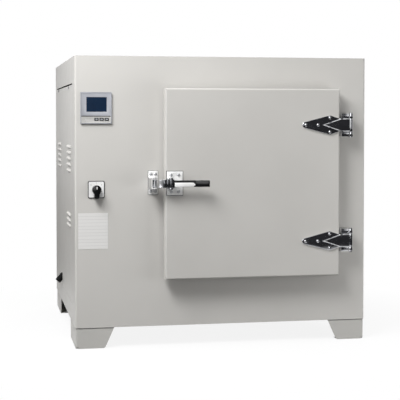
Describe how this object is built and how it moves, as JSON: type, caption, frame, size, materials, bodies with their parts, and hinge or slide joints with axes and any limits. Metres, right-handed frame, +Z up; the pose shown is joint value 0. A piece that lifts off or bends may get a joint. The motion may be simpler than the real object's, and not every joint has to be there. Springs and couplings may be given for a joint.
{
  "type": "hot air drying oven",
  "caption": "Free-standing hot air drying oven: insulated steel cabinet, side-hung door with a lever latch, fan-stirred chamber with sliding shelves, control panel on the left.",
  "frame": {"origin": "middle of the outline's bottom, on the floor", "axes": "+Z up, +X to the right seen from the front, +Y from the front to the back"},
  "size_m": [0.995, 1.047, 0.942],
  "materials": {
    "cabinet_paint": "light grey powder coat with a fine orange peel",
    "foot_paint": "light grey powder coat",
    "stainless_sheet": "brushed stainless sheet",
    "zinc_sheet": "zinc-plated steel sheet",
    "mineral_wool": "compressed mineral wool boards",
    "screw_steel": "bright plated screws and pins",
    "hinge_steel": "dark plated steel, polished",
    "latch_steel": "bright plated steel, polished",
    "lever_steel": "dark plated steel, polished",
    "motor_paint": "dark grey stove enamel",
    "heater_sheath": "heat-tinted stainless tube",
    "control_black": "fine-grained black moulded plastic",
    "terminal_grey": "grey moulded plastic",
    "bezel_grey": "pale grey moulded plastic",
    "screen_blue": "dark blue glossy window",
    "key_grey": "grey moulded keys",
    "knob_black": "black moulded knob",
    "plate_silver": "satin anodised plate",
    "label_sheet": "thin satin plate, left bare",
    "seal_rubber": "dark silicone rubber",
    "shelf_wire": "punched stainless sheet"
  },
  "bodies": {
    "cabinet": {"front_panel": "cabinet_paint", "left_frame": "cabinet_paint", "left_cover": "cabinet_paint", "right_panel": "cabinet_paint", "rear_panel": "cabinet_paint", "top_panel": "cabinet_paint", "base_pan": "cabinet_paint", "foot_front_left": "foot_paint", "foot_front_right": "foot_paint", "foot_rear_left": "foot_paint", "foot_rear_right": "foot_paint", "cabinet_screws": "screw_steel", "chamber_liner": "stainless_sheet", "duct_panel": "stainless_sheet", "shelf_rails": "stainless_sheet", "cabinet_insulation": "mineral_wool", "partition_plate": "zinc_sheet", "fan_motor": "motor_paint", "heater_elements": "heater_sheath", "temperature_probe": "stainless_sheet", "din_rail": "zinc_sheet", "contactor": "control_black", "terminal_block": "terminal_grey", "heater_relay": "control_black", "vent_pipe": "stainless_sheet", "controller_case": "control_black", "controller_bezel": "bezel_grey", "controller_screen": "screen_blue", "switch_body": "control_black", "switch_frame": "control_black", "switch_plate": "plate_silver", "data_label": "label_sheet", "cable_gland": "control_black", "keeper_bracket": "latch_steel", "keeper_pin": "screw_steel", "front_screws": "screw_steel", "hinge_upper_bracket": "hinge_steel", "hinge_lower_bracket": "hinge_steel", "hinge_pins": "screw_steel"},
    "door": {"hinge_upper_strap": "hinge_steel", "hinge_lower_strap": "hinge_steel", "door_screws": "screw_steel", "door_skin": "cabinet_paint", "door_insulation": "mineral_wool", "door_inner_plate": "stainless_sheet", "door_seal": "seal_rubber", "latch_base": "latch_steel", "latch_pin": "screw_steel"},
    "latch": {"latch_lever": "lever_steel", "latch_grip": "latch_steel"},
    "keeper_wheel": {"keeper_roller": "hinge_steel"},
    "fan_rotor": {"motor_shaft": "zinc_sheet", "fan_wheel": "stainless_sheet"},
    "knob": {"switch_knob": "knob_black"},
    "key_1": {"key_left": "key_grey"},
    "key_2": {"key_middle": "key_grey"},
    "key_3": {"key_right": "key_grey"},
    "damper": {"vent_damper": "stainless_sheet"},
    "lower_shelf": {"shelf_lower": "shelf_wire"},
    "upper_shelf": {"shelf_upper": "shelf_wire"}
  },
  "joints": [
    {"name": "door_hinge", "type": "hinge", "parent": "cabinet", "child": "door", "pos_m": [0.4345, -0.4635, 0.531], "axis": [0, 0, 1], "range_deg": [0, 150]},
    {"name": "latch_pivot", "type": "hinge", "parent": "door", "child": "latch", "pos_m": [-0.1745, -0.5035, 0.534], "axis": [0, 0, -1], "range_deg": [0, 45]},
    {"name": "roller_spin", "type": "hinge", "parent": "cabinet", "child": "keeper_wheel", "pos_m": [-0.224, -0.4875, 0.534], "axis": [0, 0, 1], "continuous": true},
    {"name": "fan_spin", "type": "hinge", "parent": "cabinet", "child": "fan_rotor", "pos_m": [-0.1875, -0.0685, 0.531], "axis": [1, 0, 0], "continuous": true},
    {"name": "knob_turn", "type": "hinge", "parent": "cabinet", "child": "knob", "pos_m": [-0.404, -0.4315, 0.5135], "axis": [0, -1, 0], "range_deg": [-45, 45]},
    {"name": "key_1_press", "type": "slide", "parent": "cabinet", "child": "key_1", "axis": [0, 1, 0], "range_m": [0, 0.0015], "stiffness_N_per_m": 400, "springref_m": -0.0008},
    {"name": "key_2_press", "type": "slide", "parent": "cabinet", "child": "key_2", "axis": [0, 1, 0], "range_m": [0, 0.0015], "stiffness_N_per_m": 400, "springref_m": -0.0008},
    {"name": "key_3_press", "type": "slide", "parent": "cabinet", "child": "key_3", "axis": [0, 1, 0], "range_m": [0, 0.0015], "stiffness_N_per_m": 400, "springref_m": -0.0008},
    {"name": "damper_turn", "type": "hinge", "parent": "cabinet", "child": "damper", "pos_m": [0.1025, 0.4885, 0.711], "axis": [-1, 0, 0], "range_deg": [0, 90]},
    {"name": "lower_shelf_slide", "type": "slide", "parent": "cabinet", "child": "lower_shelf", "axis": [0, -1, 0], "range_m": [0, 0.025]},
    {"name": "upper_shelf_slide", "type": "slide", "parent": "cabinet", "child": "upper_shelf", "axis": [0, -1, 0], "range_m": [0, 0.025]}
  ]
}
